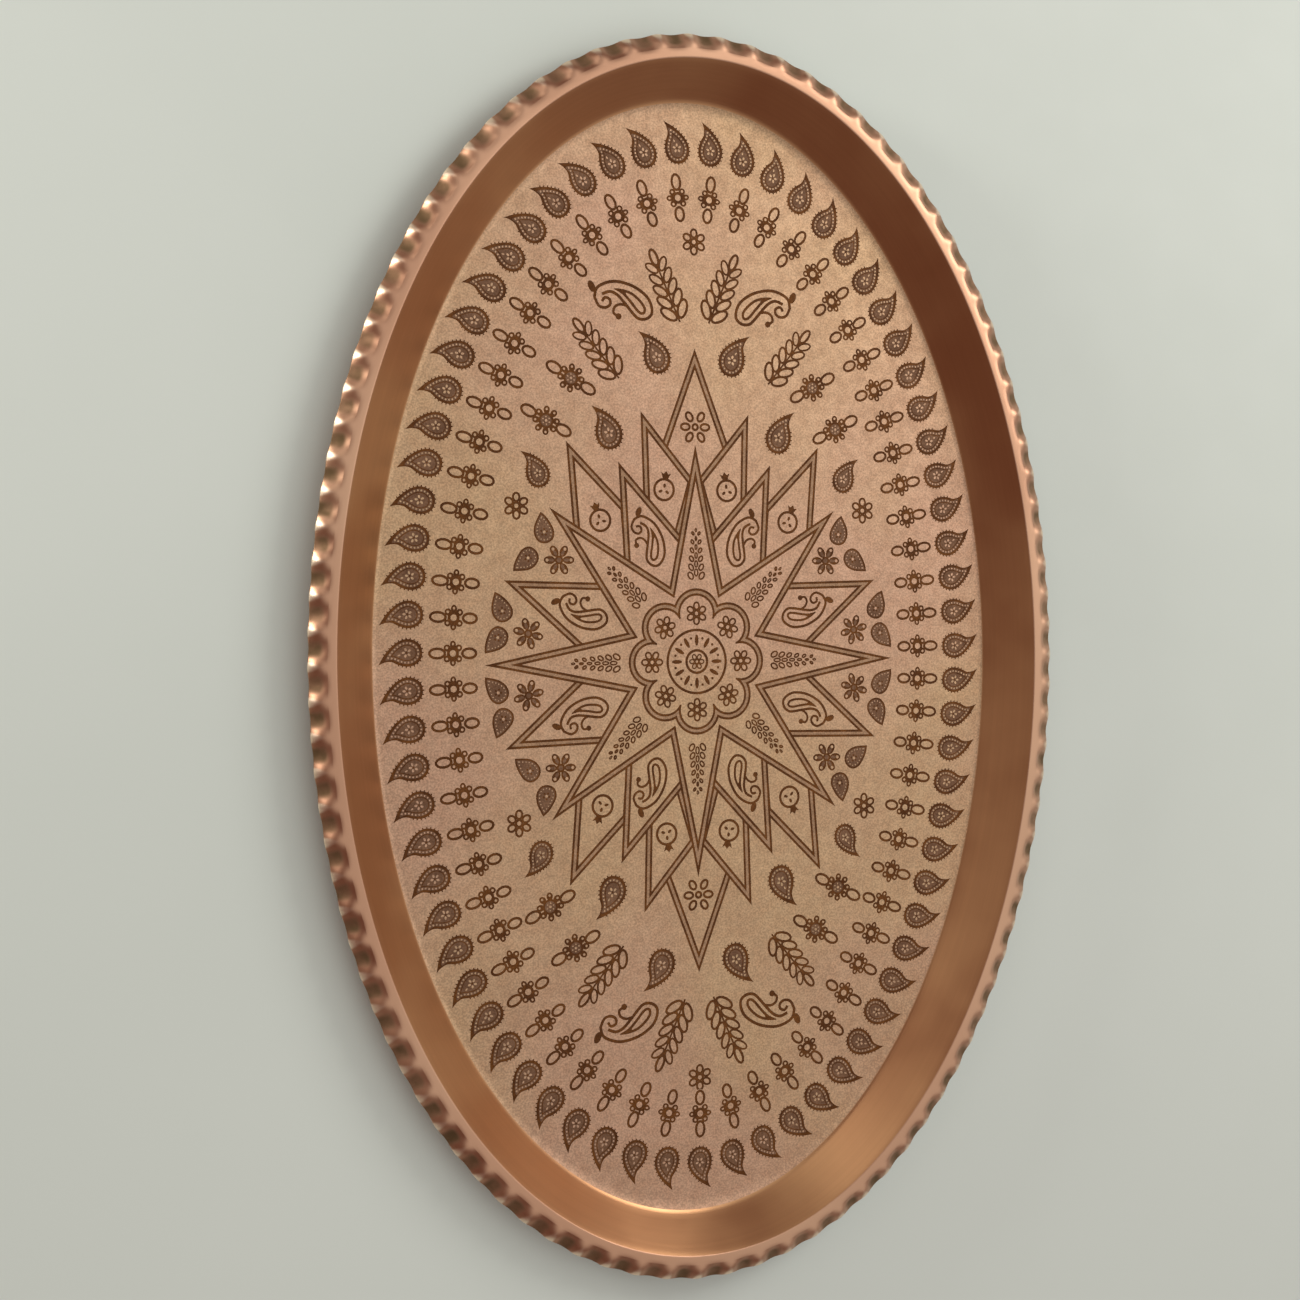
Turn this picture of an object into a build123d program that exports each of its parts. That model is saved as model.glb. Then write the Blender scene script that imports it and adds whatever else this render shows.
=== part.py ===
from build123d import *
import math
import os

# Oval copper serving tray: one pressed sheet with a flat etched floor, a flared wall and a lip that
# turns outward and ends in a crimped flank. The dark filling of the etched ornament is a set of thin skins
# on the floor. Millimetres, +Z up, long axis along Y, underside of the floor at z = 0.

# ---- driving dimensions ----
tray_length = 450.0
tray_width = 292.0
tray_height = 14.6
sheet = 0.8
lip_band = 3.0           # smooth level band of the lip, next to the hollow
flank_run = 6.2          # crimped flank beyond it, which slopes down and outward
flank_drop = 3.7
wall_run_x = 15.6        # how far the wall flares out, across and along the tray
wall_run_y = 13.8
floor_bend = 3.0         # radius of the bend from floor to wall, inside
crimp_count = 98
crimp_radius = 14.0      # each crimp is a shallow scoop across the flank
crimp_depth = 0.45
crimp_length = 8.0       # runs from the band out past the edge
fill_thickness = 0.1     # dark filling of the etched ornament

half_width = tray_width / 2
half_length = tray_length / 2
band_a = half_width - flank_run
band_b = half_length - flank_run
lip_a = band_a - lip_band
lip_b = band_b - lip_band
floor_a = lip_a - wall_run_x
floor_b = lip_b - wall_run_y
flank_tilt = math.degrees(math.atan2(flank_drop, flank_run))

# ---- the ornament ----
line = 0.8               # width of an etched line
ribbon = 2.2             # width of the star's double-line ribbon

paisley_ring = (109.3, 186.0)
paisley_count = 71
loop_ring = (92.7, 168.1)
loop_count = 67

# corners of the eight-pointed star from its top point to its right one
star_corners = [(0, 79.5), (10.6, 27.6), (56.8, 55.9), (27.6, 10.8), (81.2, 0)]
# cells between its points, from the back one to the front one, upper right quarter; their inner
# corners lie under the star or under the next cell
kite = [(0, 114.5), (16.0, 72.3), (0, 60.0), (-16.0, 72.3)]
wide_cell = [(50.2, 79.6), (47.5, 45.0), (25.0, 30.0), (27.0, 56.4)]
tall_cell = [(21.5, 91.1), (20.5, 52.0), (8.0, 40.0), (0.3, 66.1)]
inner_cell = [(30.3, 72.6), (28.1, 30.5), (9.0, 17.0), (2.9, 42.9)]
side_cell = [(73.8, 29.9), (34.0, 28.9), (20.0, 6.0), (43.5, 2.8)]

lobe_radius = 9.2
lobe_reach = 17.7        # from the middle of the rosette to the middle of a lobe
medallion_radius = 11.6

# the star and what lies round it sit a little off the tray's middle, and so do the two outer rings
star_plane = Plane((0, -0.8, sheet))
ring_plane = Plane((0, 0.5, sheet))


# ---- helpers ----
def ellipse_spots(a, b, count, phase=0.0):
    """Places evenly spaced along an ellipse, with the local X axis pointing outward."""
    steps = 7200
    turns = [2 * math.pi * i / steps for i in range(steps + 1)]
    walked = [0.0]
    for t0, t1 in zip(turns, turns[1:]):
        along_x = a * (math.cos(t1) - math.cos(t0))
        along_y = b * (math.sin(t1) - math.sin(t0))
        walked.append(walked[-1] + math.hypot(along_x, along_y))
    spots = []
    step = 0
    for i in range(count):
        while walked[step + 1] < walked[-1] * (i + phase) / count:
            step += 1
        t = turns[step]
        outward = math.degrees(math.atan2(a * math.sin(t), b * math.cos(t)))
        spots.append(Location((a * math.cos(t), b * math.sin(t), 0), (0, 0, outward)))
    return spots


def spot(x, y, turn=0.0):
    return Location((x, y, 0), (0, 0, turn))


def four_ways():
    """Repeats the upper right quarter of the open sketch in the other three."""
    mirror(about=Plane.YZ)
    mirror(about=Plane.XZ)


def teardrop(width, length, lean):
    """A paisley body: round belly at the origin, tip at `length` above it and `lean` to the right."""
    r = width / 2
    with BuildSketch() as shape:
        with BuildLine():
            ThreePointArc((-r, 0), (0, -r), (r, 0))
            Spline((r, 0), (lean, length), tangents=[(0, 1), (lean * 0.1, 1)])
            Spline((lean, length), (-r, 0), tangents=[(-1, -0.6), (0, -1)])
        make_face()
    return shape.sketch


def hoop(rx, ry):
    """An oval outline, one etched line wide."""
    with BuildSketch() as shape:
        Ellipse(rx, ry)
        Ellipse(rx - line, ry - line, mode=Mode.SUBTRACT)
    return shape.sketch


def blossom(radius, petals):
    """A small open flower: a dot in the middle and round petals about it."""
    petal = radius * 0.28
    with BuildSketch() as shape:
        Circle(radius * 0.3)
        with PolarLocations(radius - petal, petals):
            Circle(petal)
    return shape.sketch


def looped_flower():
    """A round flower between two oval loops along X, in one piece."""
    with BuildSketch() as shape:
        Circle(3.6)
        with Locations((6.4, 0), (-6.4, 0)):
            Ellipse(3.2, 2.0)
    return shape.sketch


def leaf_sprig(length, width, pairs):
    """A stem along +Y with pairs of leaves that get smaller towards the tip, and a leaf at the tip."""
    with BuildSketch() as shape:
        with Locations((0, length * 0.45)):
            Rectangle(line, length * 0.9)
        for i in range(pairs):
            share = 1 - 0.4 * i / pairs
            height = length * (i + 0.5) / (pairs + 0.6)
            reach = width * 0.26 * share
            with Locations(spot(reach, height, -35), spot(-reach, height, 35)):
                Ellipse(width * 0.15 * share, width * 0.28 * share)
        with Locations((0, length - width * 0.2)):
            Ellipse(width * 0.13, width * 0.2)
    return shape.sketch


def scroll(length, width):
    """A long curled boteh: fat end at the origin, bent tip at `length` along +X, two small curls below."""
    r = width / 2
    with BuildSketch() as shape:
        with BuildLine():
            ThreePointArc((0, -r), (-r, 0), (0, r))
            Spline((0, r), (length, -r * 0.3), tangents=[(1, 0.1), (0.3, -1)])
            belly = (length * 0.5, r * 0.3)
            Spline((length, -r * 0.3), belly, (0, -r), tangents=[(-1, 0.4), (-1, -0.2)])
        make_face()
        with Locations((length * 0.85, -r * 0.85), (length * 0.5, -r * 0.85)):
            Circle(r * 0.3)
    return shape.sketch


def inset(corners, amount):
    """The corners of a polygon, listed clockwise or not, moved inward so that every side shifts by `amount`."""
    nexts = corners[1:] + corners[:1]
    area = sum(x0 * y1 - x1 * y0 for (x0, y0), (x1, y1) in zip(corners, nexts))
    side = math.copysign(1, area)
    moved = []
    for before, here, after in zip(corners[-1:] + corners[:-1], corners, nexts):
        into = (Vector(*here) - Vector(*before)).normalized()
        out = (Vector(*after) - Vector(*here)).normalized()
        half_turn = math.sqrt((1 + into.dot(out)) / 2)
        across = (Vector(-into.Y, into.X) + Vector(-out.Y, out.X)).normalized()
        shift = across * (side * amount / half_turn)
        moved.append((here[0] + shift.X, here[1] + shift.Y))
    return moved


def band(corners):
    """A closed ribbon just inside a polygon."""
    with BuildSketch() as shape:
        Polygon(*corners, align=None)
        Polygon(*inset(corners, ribbon), align=None, mode=Mode.SUBTRACT)
    return shape.sketch


def star_outline():
    """The star's corners all the way round, clockwise from the top point."""
    right = star_corners + [(x, -y) for x, y in reversed(star_corners[:-1])]
    return right + [(-x, y) for x, y in reversed(right[1:-1])]


def cell_image(cell):
    """A whole cell and its mirror images, filled."""
    with BuildSketch() as shape:
        Polygon(*cell, align=None)
        four_ways()
    return shape.sketch


def cell_outline(cell):
    """The ribbons of a cell and of its mirror images."""
    with BuildSketch() as shape:
        add(band(cell))
        four_ways()
    return shape.sketch


def bead_row(first, pitch, count):
    """Pairs of beads along +X, getting smaller away from the middle."""
    with BuildSketch() as shape:
        for i in range(count):
            size = 1.3 - 0.12 * i
            with Locations((first + i * pitch, size), (first + i * pitch, -size)):
                Circle(size * 0.85)
    return shape.sketch


# ---- motifs, each about its own origin ----
ring_paisley = teardrop(9.0, 10.0, -4.2)
serrated_paisley = teardrop(10.0, 9.6, 5.4)
small_paisley = teardrop(7.6, 7.0, 0.6)
ring_flower = looped_flower()
sprig = leaf_sprig(25.0, 10.4, 5)
large_boteh = scroll(20.0, 8.0)
cell_boteh = scroll(15.0, 6.6)
full_blossom = blossom(5.0, 8)
blossom_hoop = hoop(2.6, 1.9)
open_flower = blossom(4.9, 6)
fruit = hoop(3.8, 3.8)
beads = bead_row(32.6, 3.4, 5)
lobe_flower = blossom(3.9, 6)
medallion_hoop = hoop(medallion_radius, medallion_radius)
medallion_hub = hoop(medallion_radius * 0.4, medallion_radius * 0.4)
star_face = Polygon(*star_outline(), align=None, mode=Mode.PRIVATE)
star_band = band(star_outline())
cells = (kite, wide_cell, tall_cell, inner_cell, side_cell)
cell_layers = [(cell_image(cell), cell_outline(cell)) for cell in cells]

paisley_places = ellipse_spots(*paisley_ring, paisley_count, phase=0.23)
flower_places = ellipse_spots(*loop_ring, loop_count, phase=0.25)

# ---- outer ring of paisleys, all leaning the same way ----
with BuildPart() as outer_paisley_fill:
    with BuildSketch(ring_plane):
        with Locations(*[place * spot(0, 0, -90) for place in paisley_places]):
            add(ring_paisley)
    extrude(amount=fill_thickness)

# ---- second ring: a flower between two oval loops ----
with BuildPart() as loop_flower_fill:
    with BuildSketch(ring_plane):
        with Locations(*flower_places):
            add(ring_flower)
    extrude(amount=fill_thickness)

# ---- leafy sprigs ----
with BuildPart() as leaf_sprig_fill:
    with BuildSketch(star_plane):
        with Locations(spot(7.4, 125.0, -19), spot(31.0, 104.0, -40)):
            add(sprig)
        four_ways()
    extrude(amount=fill_thickness)

# ---- large curled botehs ----
with BuildPart() as curled_boteh_fill:
    with BuildSketch(star_plane):
        with Locations(spot(19.8, 128.6, 22)):
            add(large_boteh)
        four_ways()
    extrude(amount=fill_thickness)

# ---- serrated paisleys between the star and the rings ----
with BuildPart() as serrated_paisley_fill:
    with BuildSketch(star_plane):
        with Locations(spot(15.4, 109.8), spot(33.4, 82.0), spot(61.2, 67.2)):
            add(serrated_paisley)
        four_ways()
    extrude(amount=fill_thickness)

# ---- full blossoms between two loops ----
with BuildPart() as loop_blossom_fill:
    blossom_places = (spot(48.1, 102.0, 29), spot(57.6, 86.6, 27))
    blossom_sides = (spot(7.6, 0), spot(-7.6, 0))
    with BuildSketch(star_plane):
        with Locations(*blossom_places):
            add(full_blossom)
        with Locations(*[place * side for place in blossom_places for side in blossom_sides]):
            add(blossom_hoop)
        four_ways()
    extrude(amount=fill_thickness)

# ---- small open flowers: above the sprigs, beside the star and in its kites ----
with BuildPart() as open_flower_fill:
    with BuildSketch(star_plane):
        with Locations(spot(0, 153.4, 30), spot(0, 85.9)):
            add(open_flower)
        with Locations(spot(69.0, 56.2, 30), spot(-69.0, 56.2, 30)):
            add(open_flower)
        mirror(about=Plane.XZ)
    extrude(amount=fill_thickness)

# ---- small plain paisleys in the gaps between the star's side points ----
with BuildPart() as small_paisley_fill:
    with BuildSketch(star_plane):
        with Locations(spot(58.6, 47.0, -8), spot(65.2, 39.6, -126)):
            add(small_paisley)
        with Locations(spot(74.8, 19.8, -20), spot(75.4, 11.6, -136)):
            add(small_paisley)
        four_ways()
    extrude(amount=fill_thickness)

# ---- dotted flowers beside them ----
with BuildPart() as dot_flower_fill:
    with BuildSketch(star_plane):
        with Locations(spot(53.2, 37.1), spot(65.0, 11.4, 15)):
            add(open_flower)
        four_ways()
    extrude(amount=fill_thickness)

# ---- cells between the star's points, each cutting off the ones behind it ----
with BuildPart() as cell_line_fill:
    with BuildSketch(star_plane):
        for whole, outline in cell_layers:
            if whole is not cell_layers[0][0]:
                add(whole, mode=Mode.SUBTRACT)
            add(outline)
        add(star_face, mode=Mode.SUBTRACT)
    extrude(amount=fill_thickness)

# ---- the long eight-pointed star in front of them ----
with BuildPart() as star_line_fill:
    with BuildSketch(star_plane):
        add(star_band)
    extrude(amount=fill_thickness)

# ---- fruit and small curled botehs inside the cells ----
with BuildPart() as cell_fruit_fill:
    with BuildSketch(star_plane):
        with Locations((12.4, 63.6), (37.6, 51.9)):
            add(fruit)
        four_ways()
    extrude(amount=fill_thickness)

with BuildPart() as cell_boteh_fill:
    with BuildSketch(star_plane):
        with Locations(spot(15.8, 38.4, 72), spot(38.4, 16.0, 8)):
            add(cell_boteh)
        four_ways()
    extrude(amount=fill_thickness)

# ---- rows of beads up the star's points ----
with BuildPart() as bead_row_fill:
    with BuildSketch(star_plane):
        with PolarLocations(0, 8):
            add(beads)
    extrude(amount=fill_thickness)

# ---- rosette in the middle: eight lobes, a flower in each, and a sunburst medallion ----
with BuildPart() as rosette_line_fill:
    with BuildSketch(star_plane):
        with PolarLocations(lobe_reach, 8):
            Circle(lobe_radius)
        with PolarLocations(lobe_reach, 8):
            Circle(lobe_radius - ribbon, mode=Mode.SUBTRACT)
        Circle(lobe_reach, mode=Mode.SUBTRACT)
    extrude(amount=fill_thickness)

with BuildPart() as rosette_flower_fill:
    with BuildSketch(star_plane):
        with PolarLocations(lobe_reach - 0.3, 8):
            add(lobe_flower)
    extrude(amount=fill_thickness)

with BuildPart() as medallion_fill:
    with BuildSketch(star_plane):
        add(medallion_hoop)
        add(medallion_hub)
        with PolarLocations(medallion_radius * 0.66, 16):
            Ellipse(medallion_radius * 0.13, medallion_radius * 0.06)
    extrude(amount=fill_thickness)

fills = {
    "outer_paisley_fill": outer_paisley_fill,
    "loop_flower_fill": loop_flower_fill,
    "leaf_sprig_fill": leaf_sprig_fill,
    "curled_boteh_fill": curled_boteh_fill,
    "serrated_paisley_fill": serrated_paisley_fill,
    "loop_blossom_fill": loop_blossom_fill,
    "open_flower_fill": open_flower_fill,
    "small_paisley_fill": small_paisley_fill,
    "dot_flower_fill": dot_flower_fill,
    "cell_line_fill": cell_line_fill,
    "star_line_fill": star_line_fill,
    "cell_fruit_fill": cell_fruit_fill,
    "cell_boteh_fill": cell_boteh_fill,
    "bead_row_fill": bead_row_fill,
    "rosette_line_fill": rosette_line_fill,
    "rosette_flower_fill": rosette_flower_fill,
    "medallion_fill": medallion_fill,
}

# ---- the pressed copper sheet ----
with BuildPart() as tray_pan:
    # lip: a level band and the flank that slopes down from it
    with BuildSketch(Plane.XY.offset(tray_height - flank_drop)):
        Ellipse(half_width, half_length)
    with BuildSketch(Plane.XY.offset(tray_height)):
        Ellipse(band_a, band_b)
    loft()
    with BuildSketch(Plane.XY.offset(tray_height - flank_drop - sheet)):
        Ellipse(half_width, half_length)
    with BuildSketch(Plane.XY.offset(tray_height - sheet)):
        Ellipse(band_a, band_b)
    loft(mode=Mode.SUBTRACT)
    # bowl, outside
    with BuildSketch(Plane.XY):
        Ellipse(floor_a, floor_b)
    with BuildSketch(Plane.XY.offset(tray_height - sheet)):
        Ellipse(lip_a, lip_b)
    loft()
    fillet(edges().group_by(Axis.Z)[0], floor_bend + sheet)
    # bowl, inside
    with BuildSketch(Plane.XY.offset(sheet)):
        Ellipse(floor_a, floor_b)
    with BuildSketch(Plane.XY.offset(tray_height)):
        Ellipse(lip_a, lip_b)
    loft(mode=Mode.SUBTRACT)
    fillet(edges().filter_by_position(Axis.Z, sheet - 0.01, sheet + 0.01), floor_bend)
    # crimps: shallow scoops across the flank
    flank = Location((0, 0, tray_height), (0, flank_tilt, 0))
    scoop = flank * Location((crimp_length / 2, 0, crimp_radius - crimp_depth))
    with Locations(*[place * scoop for place in ellipse_spots(band_a, band_b, crimp_count)]):
        Cylinder(crimp_radius, crimp_length, rotation=(0, 90, 0), mode=Mode.SUBTRACT)

# ---- labels and files ----
os.makedirs("parts", exist_ok=True)
tray_pan.part.label = "tray_pan"
export_step(tray_pan.part, "parts/tray_pan.step")
for name, fill in fills.items():
    fill.part.label = name
    export_step(fill.part, f"parts/{name}.step")
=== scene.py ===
import math

import bmesh
import bpy
import numpy as np
from mathutils import Matrix, Vector
from mathutils.geometry import convex_hull_2d, delaunay_2d_cdt


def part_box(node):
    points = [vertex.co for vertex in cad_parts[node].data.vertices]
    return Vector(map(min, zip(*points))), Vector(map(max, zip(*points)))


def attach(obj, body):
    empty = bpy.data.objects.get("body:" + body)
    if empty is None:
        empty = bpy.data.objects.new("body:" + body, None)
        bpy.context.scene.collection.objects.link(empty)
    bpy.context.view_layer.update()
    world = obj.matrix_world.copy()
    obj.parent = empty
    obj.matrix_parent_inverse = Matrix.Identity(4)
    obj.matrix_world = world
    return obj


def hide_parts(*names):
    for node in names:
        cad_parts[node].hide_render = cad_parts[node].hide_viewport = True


# Oval copper tray: a pressed sheet with an etched floor, a flared wall and a crimped lip. The etched
# grooves are cut into the sheet's own mesh, and each family of motifs has its dark inlay in them.
# Drawing and profile sizes are millimetres, as in the CAD; meshes are in metres.

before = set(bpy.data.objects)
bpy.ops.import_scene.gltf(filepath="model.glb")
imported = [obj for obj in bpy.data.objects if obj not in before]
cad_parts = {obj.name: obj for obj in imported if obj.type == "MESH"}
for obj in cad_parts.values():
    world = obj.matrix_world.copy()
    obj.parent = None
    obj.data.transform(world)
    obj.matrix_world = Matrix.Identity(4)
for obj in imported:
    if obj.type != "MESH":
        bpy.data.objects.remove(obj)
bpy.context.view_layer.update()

MM = 0.001

# ---- the sheet ----
sheet = 0.8
lip_band = 3.0
flank_run = 6.2
flank_drop = 3.7
wall_run_x = 15.6
wall_run_y = 13.8
bend_radius = 3.0        # at the sides; the bend is wider at the ends
bend_widening = 4.0
lip_rounding = 0.9       # inner edge of the lip
crimp_count = 98
crimp_inset = 0.55       # the outer edge draws in this far at a crimp
crimp_columns = 16       # places round one crimp
crimp_width = 1.7        # a smaller power leaves the ridges between the crimps narrower
crimp_hollow = 1.25      # a larger power lets a crimp fall away sooner
ridge_drop = 0.9         # a ridge between crimps drops this share of the flank, most of it at its end
ridge_roll = 2.6         # a larger power keeps a ridge level for longer
bend_steps = 6           # stretches of the profile round the bend, and up the wall
wall_steps = 8
grained_rows = 4         # how many of them have the floor's finish
sharp_edge = math.radians(38)
crimp_dark_reach = 0.4       # share of the flank by which a crimp's darker brown is complete
groove_depth = 0.35
inlay_depth = 0.10       # how far the dark inlay stays below the floor
tint_depth = 0.06
wash_depth = 0.03
inlay_base = 0.30        # underside of every inlay

half_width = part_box("tray_pan")[1].x / MM
half_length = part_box("tray_pan")[1].y / MM
lip_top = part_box("tray_pan")[1].z / MM
floor_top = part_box("star_line_fill")[0].z / MM
band_a = half_width - flank_run
band_b = half_length - flank_run

# ---- the ornament ----
line = 0.95              # width of an etched line
ribbon_line = 0.85
ribbon_gap = 1.0         # between the two lines of a ribbon
star_y = -0.8            # the star and the rings are not quite on the same middle
ring_y = 0.5
paisley_ring = (109.3, 186.0)
paisley_count = 71
paisley_phase = 0.23
loop_ring = (92.7, 168.1)
loop_count = 67
loop_phase = 0.25

star_corners = [(0, 79.5), (10.6, 27.6), (56.8, 55.9), (27.6, 10.8), (81.2, 0)]
cells = [                # from the back one to the front one; the inner corners lie under the next one
    [(0, 114.5), (16.0, 72.3), (0, 60.0), (-16.0, 72.3)],
    [(50.2, 79.6), (47.5, 45.0), (25.0, 30.0), (27.0, 56.4)],
    [(21.5, 91.1), (20.5, 52.0), (8.0, 40.0), (0.3, 66.1)],
    [(30.3, 72.6), (28.1, 30.5), (9.0, 17.0), (2.9, 42.9)],
    [(73.8, 29.9), (34.0, 28.9), (20.0, 6.0), (43.5, 2.8)],
]
lobe_radius = 9.2
lobe_reach = 17.7        # from the middle of the rosette to the middle of a lobe
medallion_radius = 11.6
tooth_pitch = 1.4        # of the comb round a paisley
tooth_height = 0.5

boteh_heart = (20.6, 128.1)         # the middle of the curled boteh's fat end

BARE, DARK, TINT, WASH = range(4)   # a mark leaves copper, or is cut and filled: dark, brown or pale
HEIGHTS = {DARK: floor_top - inlay_depth, TINT: floor_top - tint_depth, WASH: floor_top - wash_depth}
FLOOR, GROOVE, WALL, LIP, UNDERSIDE = range(5)      # the pan's material slots


# ---- drawing: a mark is (kind, corners), and a later mark covers the ones before it ----
def polar(radius, angle):
    """The point at a distance and an angle in degrees."""
    return radius * math.cos(math.radians(angle)), radius * math.sin(math.radians(angle))


def oval(x, y, rx, ry=None, turn=0.0, count=14):
    """Corners round an ellipse whose long axis is turned by `turn` degrees."""
    ry = ry or rx
    c, s = math.cos(math.radians(turn)), math.sin(math.radians(turn))
    angles = [2 * math.pi * i / count for i in range(count)]
    return [(x + rx * math.cos(a) * c - ry * math.sin(a) * s,
             y + rx * math.cos(a) * s + ry * math.sin(a) * c) for a in angles]


def smooth(points, closed=True, steps=3):
    """A flowing line through a few points (Catmull-Rom)."""
    count = len(points)
    spans = count if closed else count - 1
    found = []
    for i in range(spans):
        if closed:
            p0, p1, p2, p3 = (Vector(points[(i + k) % count]) for k in (-1, 0, 1, 2))
        else:
            p0, p1, p2, p3 = (Vector(points[min(max(i + k, 0), count - 1)]) for k in (-1, 0, 1, 2))
        for j in range(steps):
            t = j / steps
            p = 0.5 * (2 * p1 + (p2 - p0) * t + (2 * p0 - 5 * p1 + 4 * p2 - p3) * t ** 2
                       + (3 * p1 - p0 - 3 * p2 + p3) * t ** 3)
            found.append(tuple(p))
    return found if closed else found + [tuple(points[-1])]


def signed_area(corners):
    """Twice the area inside an outline, negative when it runs clockwise."""
    return sum(x0 * y1 - x1 * y0 for (x0, y0), (x1, y1) in zip(corners[-1:] + corners[:-1], corners))


def gap(point, corners):
    """The distance from a point to a closed outline."""
    starts = np.array(corners)
    steps = np.roll(starts, -1, axis=0) - starts
    apart = np.array(point) - starts
    share = np.clip((apart * steps).sum(axis=1) / np.maximum((steps * steps).sum(axis=1), 1e-12), 0, 1)
    return np.hypot(*(apart - steps * share[:, None]).T).min()


def shifted(corners, amount):
    """A closed outline with every side moved inward by `amount`, or outward if it is negative."""
    count = len(corners)
    amount = math.copysign(amount, signed_area(corners) * amount)
    moved = []
    for i, here in enumerate(corners):
        into = (Vector(here) - Vector(corners[i - 1])).normalized()
        out = (Vector(corners[(i + 1) % count]) - Vector(here)).normalized()
        half_turn = math.sqrt(max((1 + into.dot(out)) / 2, 0.01))
        across = (Vector((-into.y, into.x)) + Vector((-out.y, out.x))).normalized()
        moved.append(tuple(Vector(here) + across * (amount / half_turn)))
    # a corner that was pushed across a narrow place lies too near the outline again, and is left out
    return [point for point in moved if gap(point, corners) > 0.97 * abs(amount)]


def outlined(corners, inside=BARE, width=line):
    """A closed shape drawn with a line."""
    return [(DARK, corners), (inside, shifted(corners, width))]


def ringed(x, y, rx, ry=None, turn=0.0, inside=BARE, width=line, count=14):
    """An oval drawn with a line."""
    ry = ry or rx
    return [(DARK, oval(x, y, rx, ry, turn, count)),
            (inside, oval(x, y, rx - width, max(ry - width, 0.2), turn, count))]


def stroke(points, width=line):
    """A line drawn along a path, one four-sided mark for each stretch."""
    sides = []
    for i, here in enumerate(points):
        ahead = Vector(points[min(i + 1, len(points) - 1)]) - Vector(points[max(i - 1, 0)])
        across = Vector((-ahead.y, ahead.x)).normalized() * (width / 2)
        sides.append((tuple(Vector(here) + across), tuple(Vector(here) - across)))
    return [(DARK, [l0, r0, r1, l1]) for (l0, r0), (l1, r1) in zip(sides, sides[1:])]


def ribbon(corners):
    """A shape bounded by two lines, which covers what lies behind it."""
    inner = ribbon_line + ribbon_gap
    return [(DARK, corners), (WASH, shifted(corners, ribbon_line)),
            (DARK, shifted(corners, inner)), (BARE, shifted(corners, inner + ribbon_line))]


def placed(marks, x=0.0, y=0.0, turn=0.0, size=1.0, flip=1):
    """Marks mirrored (flip -1), scaled, turned by degrees and moved, in that order."""
    c, s = size * math.cos(math.radians(turn)), size * math.sin(math.radians(turn))
    return [(kind, [(x + px * flip * c - py * s, y + px * flip * s + py * c) for px, py in corners])
            for kind, corners in marks]


def quarters(marks):
    """The upper right quarter and its mirror images."""
    every = []
    for sx, sy in ((1, 1), (-1, 1), (1, -1), (-1, -1)):
        every += [(kind, [(x * sx, y * sy) for x, y in corners]) for kind, corners in marks]
    return every


def along(points, pitch):
    """Places at an even pitch along a closed outline, each with the direction away from its inside."""
    loop = points + points[:1]
    found, walked, due = [], 0.0, 0.0
    for a, b in zip(loop, loop[1:]):
        step = Vector(b) - Vector(a)
        while step.length and due <= walked + step.length:
            at = Vector(a) + step * ((due - walked) / step.length)
            found.append((at, Vector((step.y, -step.x)).normalized()))
            due += pitch
        walked += step.length
    return found


# ---- motifs, each about its own middle and upright ----
paisley_edge = smooth([
    (4.4, 10.0), (3.0, 9.2), (0.7, 7.8), (-2.0, 5.4), (-3.9, 2.9), (-4.8, 0.1), (-4.3, -2.7), (-2.6, -4.9),
    (0, -5.6), (2.6, -4.9), (4.3, -2.8), (4.8, 0), (4.2, 2.9), (3.2, 5.3), (3.4, 7.8), (4.4, 10.0),
], closed=False)[:-1]
paisley_heart = smooth([
    (2.8, 7.4), (0.7, 6.5), (-1.6, 4.5), (-3.2, 2.4), (-3.9, 0.1), (-3.5, -2.2), (-2.1, -4.0),
    (0, -4.7), (2.1, -4.1), (3.5, -2.3), (3.9, 0), (3.4, 2.5), (2.4, 5.0),
])


def paisley():
    """A paisley with a comb of short teeth round its belly and a small flower in its tinted heart."""
    marks = []
    for at, away in along(paisley_edge, tooth_pitch):
        on_tail = at.y >= 8.5 or (at.x > 2.5 and at.y > 3.5)
        if not on_tail:
            side = Vector((-away.y, away.x)) * 0.3
            tip = at + away * tooth_height
            marks.append((DARK, [tuple(at - side - away * 0.3), tuple(tip - side * 0.6),
                                 tuple(tip + side * 0.6), tuple(at + side - away * 0.3)]))
    marks += [(DARK, paisley_edge), (TINT, paisley_heart)]
    beads = shifted(paisley_heart, 0.5)
    marks += [(BARE, oval(at.x, at.y, 0.34, count=6)) for at, _ in along(beads, 1.25)]
    core = shifted(paisley_heart, 1.05)
    marks += [(DARK, core), (TINT, shifted(core, 0.35))]
    marks += [(BARE, oval(*polar(1.15, 72 * i + 18), 0.62, 0.42, 72 * i + 18, count=8)) for i in range(5)]
    marks += [(BARE, oval(0.9, 2.7, 0.55, 0.3, 70, count=8)), (DARK, oval(0, 0, 0.35, count=6))]
    return marks


def looped_flower():
    """A small flower between two oval loops."""
    marks = ringed(0, 5.7, 2.15, 3.3) + ringed(0, -5.9, 2.15, 3.0)
    marks += [(DARK, oval(x, 0, 1.5, 1.1)) for x in (-3.0, 3.0)]
    marks += [(DARK, oval(x, y, 1.25)) for x in (-1.9, 1.9) for y in (-2.1, 2.1)]
    marks += [(DARK, oval(0, 0, 2.2)), (BARE, oval(0, 0, 1.15))]
    marks += [(BARE, oval(x, 0, 0.5, 0.4, count=8)) for x in (-3.3, 3.3)]
    return marks + [(BARE, oval(x, y, 0.5, count=8)) for x in (-1.95, 1.95) for y in (-2.2, 2.2)]


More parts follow.
